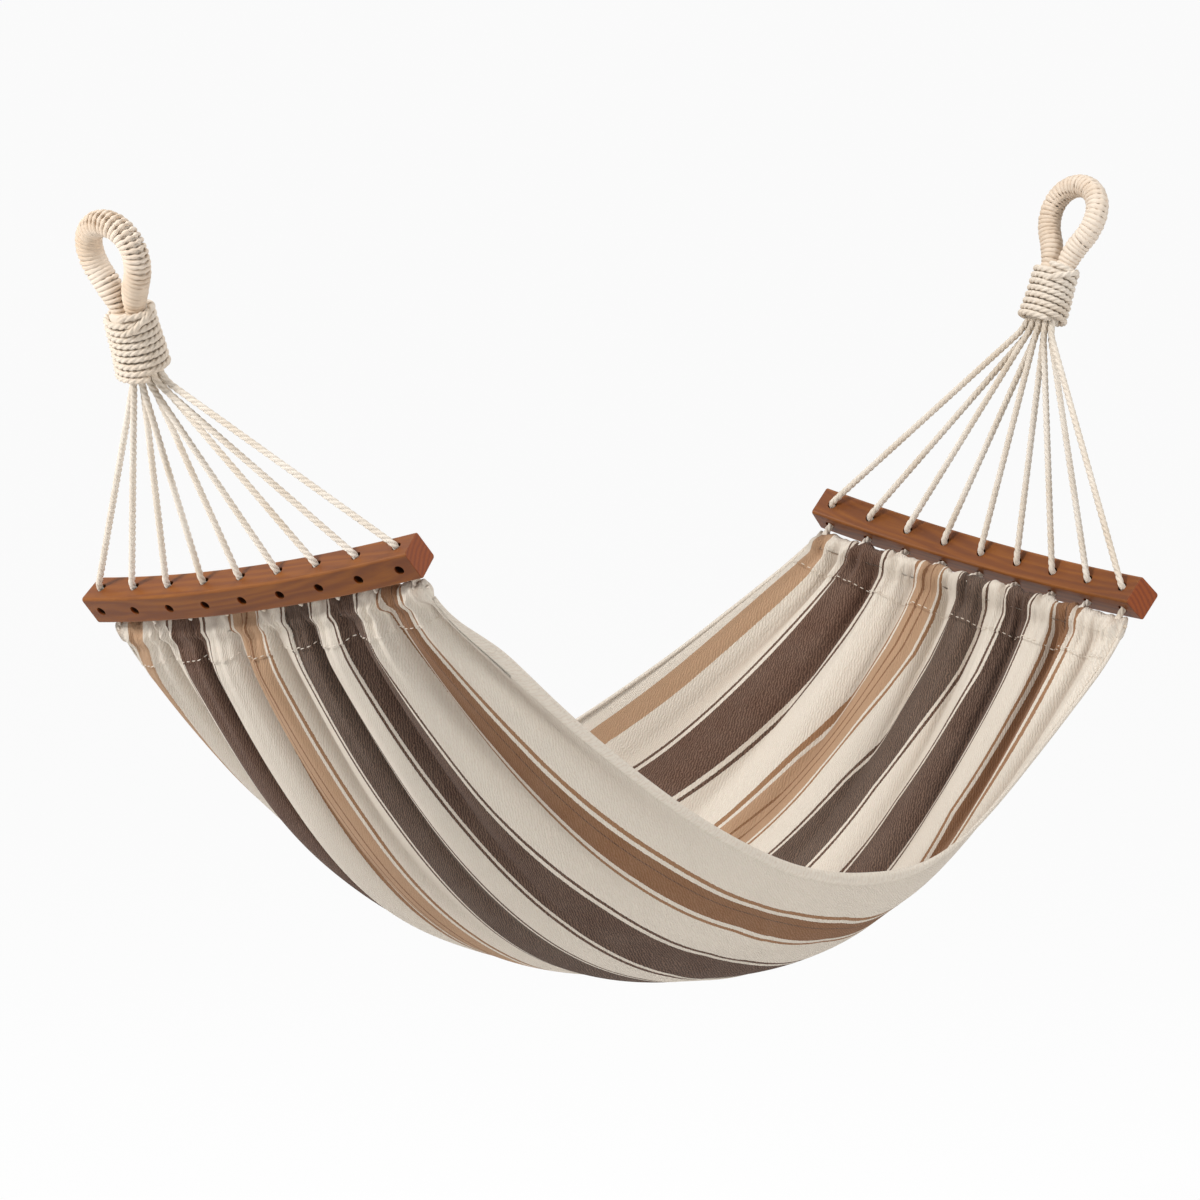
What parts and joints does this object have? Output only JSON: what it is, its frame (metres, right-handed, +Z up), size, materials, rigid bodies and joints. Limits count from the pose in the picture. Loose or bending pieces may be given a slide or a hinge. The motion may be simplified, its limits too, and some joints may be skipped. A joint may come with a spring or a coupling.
{
  "type": "spreader bar hammock",
  "caption": "Gathered striped cloth bed hung between two bowed wooden spreader bars, each carried by a fan of ropes to a whipped clew with a served hanging eye.",
  "frame": {"origin": "inside of the head eye's crown, where a hook bears", "axes": "+X to the foot end, +Y to the far side as the picture shows it, +Z up"},
  "size_m": [2.1515, 0.8759, 1.2771],
  "materials": {
    "hardwood": "clear varnish over orange-brown hardwood",
    "cotton_rope": "off-white three-strand laid cotton",
    "striped_cloth": "woven cotton with cream, tan and dark brown stripes"
  },
  "bodies": {
    "bed": {"bed_cloth": "striped_cloth", "head_end_hem": "striped_cloth", "head_header_cord": "cotton_rope", "foot_end_hem": "striped_cloth", "foot_header_cord": "cotton_rope"},
    "head_bar": {"head_spreader_bar": "hardwood", "head_bed_loop_1": "cotton_rope", "head_bed_loop_2": "cotton_rope", "head_bed_loop_3": "cotton_rope", "head_bed_loop_4": "cotton_rope", "head_bed_loop_5": "cotton_rope", "head_bed_loop_6": "cotton_rope", "head_bed_loop_7": "cotton_rope", "head_bed_loop_8": "cotton_rope", "head_bed_loop_9": "cotton_rope"},
    "head_clew": {"head_clew_cord_1": "cotton_rope", "head_clew_cord_2": "cotton_rope", "head_clew_cord_3": "cotton_rope", "head_clew_cord_4": "cotton_rope", "head_clew_cord_5": "cotton_rope", "head_clew_cord_6": "cotton_rope", "head_clew_cord_7": "cotton_rope", "head_clew_cord_8": "cotton_rope", "head_clew_cord_9": "cotton_rope", "head_rope_bundle": "cotton_rope", "head_whipping": "cotton_rope", "head_eye_core": "cotton_rope", "head_eye_service": "cotton_rope"},
    "foot_bar": {"foot_spreader_bar": "hardwood", "foot_bed_loop_1": "cotton_rope", "foot_bed_loop_2": "cotton_rope", "foot_bed_loop_3": "cotton_rope", "foot_bed_loop_4": "cotton_rope", "foot_bed_loop_5": "cotton_rope", "foot_bed_loop_6": "cotton_rope", "foot_bed_loop_7": "cotton_rope", "foot_bed_loop_8": "cotton_rope", "foot_bed_loop_9": "cotton_rope"},
    "foot_clew": {"foot_clew_cord_1": "cotton_rope", "foot_clew_cord_2": "cotton_rope", "foot_clew_cord_3": "cotton_rope", "foot_clew_cord_4": "cotton_rope", "foot_clew_cord_5": "cotton_rope", "foot_clew_cord_6": "cotton_rope", "foot_clew_cord_7": "cotton_rope", "foot_clew_cord_8": "cotton_rope", "foot_clew_cord_9": "cotton_rope", "foot_rope_bundle": "cotton_rope", "foot_whipping": "cotton_rope", "foot_eye_core": "cotton_rope", "foot_eye_service": "cotton_rope"}
  },
  "joints": [
    {"name": "head_bar_rock", "type": "hinge", "parent": "bed", "child": "head_bar", "pos_m": [0.29231, -0.05164, -0.58072], "axis": [0, 0.9863, -0.165], "range_deg": [0, 45]},
    {"name": "head_clew_fold", "type": "hinge", "parent": "head_bar", "child": "head_clew", "pos_m": [0.24858, -0.0383, -0.51241], "axis": [0, 0.9863, -0.165], "range_deg": [0, 70]},
    {"name": "foot_bar_rock", "type": "hinge", "parent": "bed", "child": "foot_bar", "pos_m": [1.92548, -0.04166, -0.6608], "axis": [0, -0.989, -0.1478], "range_deg": [0, 45]},
    {"name": "foot_clew_fold", "type": "hinge", "parent": "foot_bar", "child": "foot_clew", "pos_m": [1.92508, -0.05315, -0.59667], "axis": [0, -0.989, -0.1478], "range_deg": [0, 90]}
  ]
}
